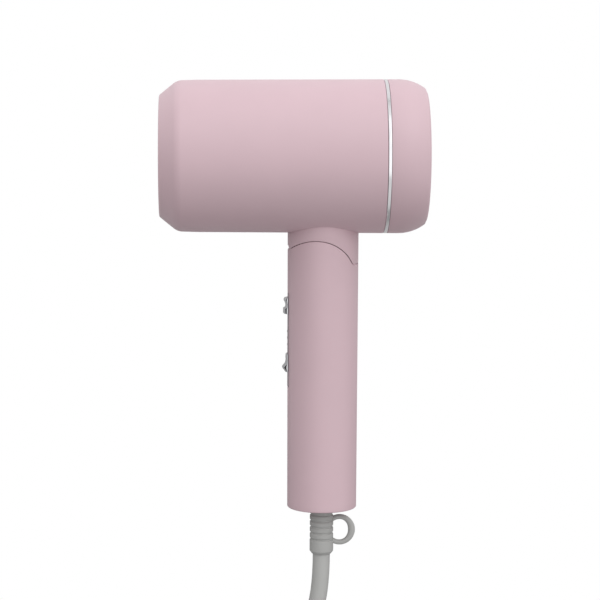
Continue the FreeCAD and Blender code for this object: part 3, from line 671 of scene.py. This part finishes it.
def slide_knob(name, body, node, middle, profile):
    """A plated slide knob: a ridged cap over the strip, lower at its ends, and a stem in its slot.
    The profile holds (distance from the handle's axis, place along the handle) points."""
    half, seat, crown_half, fullness = 3.5, 16.45, 3.58, 0.8
    sections = []
    for z in spread(-half, half, 14):
        base = math.sqrt(seat ** 2 - z ** 2)
        swell = math.sqrt(1 - (z / crown_half) ** 2) ** fullness
        sections.append([(-base - max(0.0, out - seat) * swell, -middle + along, z)
                         for out, along in profile])
    stem_top, stem_end, stem_along, stem_across = -17.0, -11.2, 1.2, 1.1
    stem = box_mesh((stem_top, -middle - stem_along, -stem_across),
                    (stem_end, -middle + stem_along, stem_across))
    add_piece(name, joined(loft(sections), stem), "knob_silver", body, [node], soften=0.22)


def controls():
    """The switch strip with its marks, the upper knob with a hollow, and the lower one with a ridge."""
    switch_strip()
    level_marks()
    slide_knob("upper_slider", "upper_switch_knob", "upper_knob", UPPER_KNOB, [
        (16.2, 3.7), (17.7, 3.6), (18.0, 3.1), (18.0, 2.5), (17.55, 1.7), (17.3, 0.9), (17.2, 0.3),
        (17.3, -0.3), (17.5, -0.7), (18.25, -1.1), (18.25, -3.2), (17.9, -3.7), (16.2, -3.7)])
    slide_knob("lower_slider", "lower_switch_knob", "lower_knob", LOWER_KNOB, [
        (16.2, 4.2), (17.0, 4.0), (17.1, 2.8), (17.0, 1.5), (17.15, 0.6), (17.4, -0.2), (17.95, -0.9),
        (18.5, -1.5), (18.65, -2.0), (18.4, -2.6), (17.6, -3.6), (17.3, -4.1), (16.2, -4.1)])


# ---------------------------------------------------------------- strain relief
def ribbed_relief():
    """The ribbed gland with its smooth collar, and the hanging loop moulded to its side."""
    end = -HANDLE_END - RELIEF_LENGTH - 0.5
    inside_handle = 1.9 - HANDLE_END
    rib_count, rib_pitch, groove, outer, core, collar = 5, 2.9, 0.7, 5.5, 3.45, 6.6
    corners = [(end, core, 0.2), (end, 4.45, 0.3), (end + 1.35, outer, 0.5), (end + collar, outer, 0.3)]
    for rib in range(rib_count):
        low = end + collar + rib * rib_pitch
        corners += [(low + 0.2, outer - 0.65, 0.2), (low + groove, outer - 0.6, 0.2),
                    (low + groove + 0.35, outer - 0.05, 0.4)]
        if rib < rib_count - 1:
            corners.append((low + rib_pitch, outer - 0.05, 0.7))
    corners += [(inside_handle, 4.0, 0), (inside_handle, core, 0)]
    gland = lathe(rounded(corners, 4), 96, "Y")
    add_piece("strain_relief_ribbed", joined(gland, hanging_loop()), "relief_grey", "handle",
              ["strain_relief"])


def squared(level, fullness=0.85):
    """A sine or cosine pushed outward, so that the section it draws is squarer than an ellipse."""
    return math.copysign(abs(level) ** fullness, level)


def hanging_loop():
    """A ring that is broader on its far side, flattened a little across its thickness."""
    centre_x, centre_y, outer, half_thick = 8.4, -173.7, 7.2, 1.33
    widest_hole, narrowing = 4.9, 0.95
    steps, sides = 96, 20
    vertices, faces = [], []
    for step in range(steps):
        angle = 2 * math.pi * step / steps
        hole = widest_hole - narrowing * max(0.0, math.cos(angle)) ** 2
        middle, half = (outer + hole) / 2, (outer - hole) / 2
        for side in range(sides):
            turn = 2 * math.pi * side / sides
            radius = middle + half * squared(math.cos(turn))
            vertices.append((centre_x + radius * math.cos(angle), centre_y + radius * math.sin(angle),
                             half_thick * squared(math.sin(turn))))
        faces += band_faces(step * sides, (step + 1) % steps * sides, sides)
    return vertices, faces


# ---------------------------------------------------------------- mains cord
LEAD_ROUTE = [(0.0, -205.0, 10.6), (-8.0, -222.0, 7.2), (-25.6, -236.4, 4.0)]
COIL_CENTRE = (-10.5, -289.8)
COIL_RADII = (52.0, 44.0, 36.0)
COIL_POINTS = 16
COIL_START, COIL_EXTRA = math.radians(130.0), math.radians(50.0)
CROSSING = 0.2
TAIL_ROUTE = [(-62.3, -310.6, 12.0), (-62.1, -320.0, 13.0), (-62.0, -328.0, 14.0)]


def coil_route():
    """Points of the coil: turns inwards on the surface, then outwards on top of them. The last part
    of each turn crosses over to the next one."""
    turns = [(radius, CORD_RADIUS * (1 + 2 * layer))
             for layer, radii in enumerate((COIL_RADII, COIL_RADII[::-1])) for radius in radii]
    total = len(turns) * COIL_POINTS
    sweep = 2 * math.pi * len(turns) + COIL_EXTRA
    points = []
    for step in range(1, total):
        angle = COIL_START + sweep * step / total
        index, point = divmod(step, COIL_POINTS)
        radius, height = turns[index]
        if index + 1 < len(turns):
            ease = max(0.0, (point / COIL_POINTS - 1 + CROSSING) / CROSSING)
            ease = ease * ease * (3 - 2 * ease)
            next_radius, next_height = turns[index + 1]
            radius += (next_radius - radius) * ease
            height += (next_height - height) * ease
        points.append((COIL_CENTRE[0] + radius * math.cos(angle),
                       COIL_CENTRE[1] + radius * math.sin(angle), height))
    return points


def cord_route():
    """The whole cord: gland, lead, coil, and the tail that ends in the plug."""
    gland = row_point(0, -HANDLE_END - RELIEF_LENGTH)
    return [gland] + [floor_point(*place) for place in LEAD_ROUTE + coil_route() + TAIL_ROUTE]


def add_cord():
    """The mains cord as one smooth curve."""
    curve = bpy.data.curves.new("mains_cord", "CURVE")
    curve.dimensions = "3D"
    curve.bevel_depth = CORD_RADIUS * MM
    curve.bevel_resolution = 6
    curve.resolution_u = 8
    curve.use_fill_caps = True
    spline = curve.splines.new("NURBS")
    route = cord_route()
    spline.points.add(len(route) - 1)
    for point, place in zip(spline.points, route):
        point.co = (*place, 1.0)
    spline.order_u = 3
    spline.use_endpoint_u = True
    curve.materials.append(finish_of("cord_grey"))
    cord = bpy.data.objects.new("mains_cord", curve)
    bpy.context.collection.objects.link(cord)
    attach(cord, "handle")
    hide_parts("cord_lead", "cord_coil", "cord_tail")
    return cord


def cord_strap():
    """The woven strap that holds the coil together."""
    left, right, low, high, top, thick, edge = -18.0, -3.0, -346.8, -320.8, 17.0, 1.0, 4.6
    grids = []
    for inset in (0.0, thick):
        radius = edge - inset
        ring = rounded([(low + inset, inset, radius), (high - inset, inset, radius),
                        (high - inset, top - inset, radius), (low + inset, top - inset, radius)], 8)
        grids.append([[(x, y, z) for x in (left, right)] for y, z in ring + ring[:1]])
    add_piece("cord_strap", thick_sheet(*grids), "strap_grey", "handle", ["cord_tie"],
              to_row=TO_FLOOR, soften=0.15)


def plug_section(half_width, half_height):
    """The plug's outline: a circle with two flats, its corners eased."""
    steps, ease = 56, 1.5
    points = []
    for step in range(steps):
        angle = 2 * math.pi * step / steps
        x, z = half_width * math.cos(angle), half_width * math.sin(angle)
        over = abs(z) - (half_height - ease)
        if over > 0:
            z = math.copysign(half_height - ease + ease * math.tanh(over / ease), z)
        points.append((x, z))
    return points


def plug_body(middle, face, level):
    """The moulded body: three finger grooves round it and a rounded end towards the cord."""
    half_width, half_height, groove_depth = 18.0, 14.0, 0.55
    insets = [(0.0, 1.2), (0.35, 0.45), (1.1, 0.0)]
    for groove in (9.0, 13.0, 17.0):
        insets += [(groove, 0.0), (groove + 0.8, groove_depth), (groove + 1.8, groove_depth),
                   (groove + 2.6, 0.0)]
    insets += [(25.2, 0.0), (26.8, 0.6), (27.7, 1.8), (28.0, 3.2)]
    return loft([[(middle + x, face + along, level + z)
                  for x, z in plug_section(half_width - inset, half_height - inset)]
                 for along, inset in insets])


def plug_sleeve(middle, back, level):
    """The ringed tail of the plug, round the cord."""
    corners = [(-1.0, 4.0, 0), (-1.0, 8.0, 0), (0.6, 7.8, 0.4), (1.2, 6.7, 0.3), (2.0, 6.6, 0.3),
               (2.6, 7.0, 0.4), (3.4, 6.6, 0.3), (3.9, 5.8, 0.3), (4.7, 5.7, 0.3), (5.3, 6.0, 0.4),
               (7.0, 5.2, 0.5), (7.0, 4.0, 0)]
    tail = rounded([(back + along, radius, edge) for along, radius, edge in corners], 4)
    return moved(lathe(tail, 64, "Y"), (middle, 0, level))


def mains_plug():
    """A moulded two-pole plug with its round-ended pins."""
    middle, face, back, level = -62.0, -363.0, -335.0, 14.0
    pin_radius, pin_length, pin_round, half_pitch = 2.4, 19.0, 1.1, 9.5
    plug = joined(plug_body(middle, face, level), plug_sleeve(middle, back, level))
    add_piece("mains_plug", plug, "relief_grey", "handle", ["plug_body"], to_row=TO_FLOOR)
    outline = rounded([(face, ON_AXIS, 0), (face, pin_radius, 0), (face - pin_length, pin_radius, pin_round),
                       (face - pin_length, ON_AXIS, 0)], 8)
    for side, node in ((-1, "plug_pin_left"), (1, "plug_pin_right")):
        pin = moved(lathe(outline, 48, "Y"), (middle + side * half_pitch, 0, level))
        add_piece(node + "_round", pin, "pin_brass", "handle", [node], to_row=TO_FLOOR)


# ---------------------------------------------------------------- lights and floor
def floor_material():
    """Pure white to the camera and dim to the light that falls on the object, brighter behind it.
    Polished metal sees a share of the white."""
    mirrored_white = 0.28
    material = bpy.data.materials.new("floor_white")
    material.use_nodes = True
    nodes, links = material.node_tree.nodes, material.node_tree.links
    nodes.clear()
    rays = nodes.new("ShaderNodeLightPath")
    white = nodes.new("ShaderNodeEmission")
    white.inputs["Strength"].default_value = 1.0
    dim = nodes.new("ShaderNodeBsdfDiffuse")
    split = nodes.new("ShaderNodeSeparateXYZ")
    fall = nodes.new("ShaderNodeMapRange")
    set_range(fall, -0.12, 0.14, 0.1, 0.95)
    links.new(nodes.new("ShaderNodeTexCoord").outputs["Object"], split.inputs["Vector"])
    links.new(split.outputs["Y"], fall.inputs["Value"])
    links.new(fall.outputs["Result"], dim.inputs["Color"])
    share = nodes.new("ShaderNodeMath")
    share.operation = "MULTIPLY_ADD"
    share.inputs[1].default_value = mirrored_white
    links.new(rays.outputs["Is Glossy Ray"], share.inputs[0])
    links.new(rays.outputs["Is Camera Ray"], share.inputs[2])
    mix = nodes.new("ShaderNodeMixShader")
    links.new(share.outputs["Value"], mix.inputs["Fac"])
    links.new(dim.outputs["BSDF"], mix.inputs[1])
    links.new(white.outputs["Emission"], mix.inputs[2])
    output = nodes.new("ShaderNodeOutputMaterial")
    links.new(mix.outputs["Shader"], output.inputs["Surface"])
    return material


def add_floor():
    """A white surface. It lies below the tip of the folded barrel, so that it hides nothing at any
    pose."""
    half = 3.0
    mesh = bpy.data.meshes.new("floor")
    mesh.from_pydata([(-half, -half, 0), (half, -half, 0), (half, half, 0), (-half, half, 0)], [],
                     [(0, 1, 2, 3)])
    mesh.materials.append(floor_material())
    floor = bpy.data.objects.new("floor", mesh)
    floor.location.z = -FOLDED_DIP * MM
    bpy.context.collection.objects.link(floor)


def add_area(name, place, aim, size, power):
    """A rectangular lamp at a place, turned towards its aim."""
    data = bpy.data.lights.new(name, "AREA")
    data.shape = "RECTANGLE"
    data.size, data.size_y = size
    data.energy = power
    lamp = bpy.data.objects.new(name, data)
    bpy.context.collection.objects.link(lamp)
    direction = Vector(aim) - Vector(place)
    lamp.matrix_world = Matrix.Translation(place) @ direction.to_track_quat("-Z", "Y").to_matrix().to_4x4()


class Sky:
    """Sums and products of soft steps along the world's directions."""

    def __init__(self, tree):
        self.nodes, self.links = tree.nodes, tree.links
        self.split = self.nodes.new("ShaderNodeSeparateXYZ")
        self.links.new(self.nodes.new("ShaderNodeTexCoord").outputs["Generated"], self.split.inputs["Vector"])

    def step(self, axis, start, end, low, high):
        """Low up to the start and high from the end on, seen along one direction."""
        span = self.nodes.new("ShaderNodeMapRange")
        span.interpolation_type = "SMOOTHSTEP"
        set_range(span, start, end, low, high)
        self.links.new(self.split.outputs[axis], span.inputs["Value"])
        return span.outputs["Result"]

    def combine(self, operation, first, *others):
        """The sum or product of several values."""
        for other in others:
            node = self.nodes.new("ShaderNodeMath")
            node.operation = operation
            self.links.new(first, node.inputs[0])
            self.links.new(other, node.inputs[1])
            first = node.outputs["Value"]
        return first

    def choose(self, switch, otherwise, chosen):
        """The chosen value where the switch is 1, and the other one where it is 0."""
        node = self.nodes.new("ShaderNodeMix")
        self.links.new(switch, node.inputs["Factor"])
        self.links.new(otherwise, node.inputs["A"])
        self.links.new(chosen, node.inputs["B"])
        return node.outputs["Result"]


def add_world():
    """A white studio: light falls off softly from above, from the front and from the right, and
    polished metal sees a bright front and a dim left side."""
    world = bpy.data.worlds.new("studio")
    world.use_nodes = True
    sky = Sky(world.node_tree)
    background = sky.nodes["Background"]
    background.inputs["Color"].default_value = (1, 1, 1, 1)
    lighting = sky.combine("ADD",
                           sky.step("Y", -0.1, 0.6, 0.0, 0.84),
                           sky.step("Z", -0.2, 0.4, 0.0, 0.46),
                           sky.step("X", -0.3, 0.5, 0.0, 0.22))
    mirrored = sky.combine("MULTIPLY",
                           sky.step("Z", -0.2, 0.3, 0.6, 1.2),
                           sky.step("X", -0.75, -0.2, 0.05, 1.0),
                           sky.step("Y", 0.8, 0.95, 1.0, 0.75),
                           sky.step("Y", -0.6, -0.45, 0.62, 1.0))
    rays = sky.nodes.new("ShaderNodeLightPath").outputs
    white = sky.nodes.new("ShaderNodeValue")
    white.outputs["Value"].default_value = 1.0
    strength = sky.choose(rays["Is Glossy Ray"], lighting, mirrored)
    strength = sky.choose(rays["Is Camera Ray"], strength, white.outputs["Value"])
    sky.links.new(strength, background.inputs["Strength"])
    bpy.context.scene.world = world


def add_lights():
    """The studio's light, and a tall strip light that the polished parts show."""
    add_world()
    add_area("strip", place=(0.5, 0.7, 0.8), aim=(0.03, 0.05, 0), size=(0.25, 0.9), power=0.6)
    bpy.context.scene.view_settings.view_transform = "Standard"


# ---------------------------------------------------------------- assembly
add_camera()
dress_cad_nodes()
barrel_shell()
rear_end()
outlet_end()
handle_half("handle_near", 1, "handle_half_near")
handle_half("handle_far", -1, "handle_half_far")
controls()
ribbed_relief()
cord_strap()
mains_plug()
cord = add_cord()
add_floor()
add_lights()
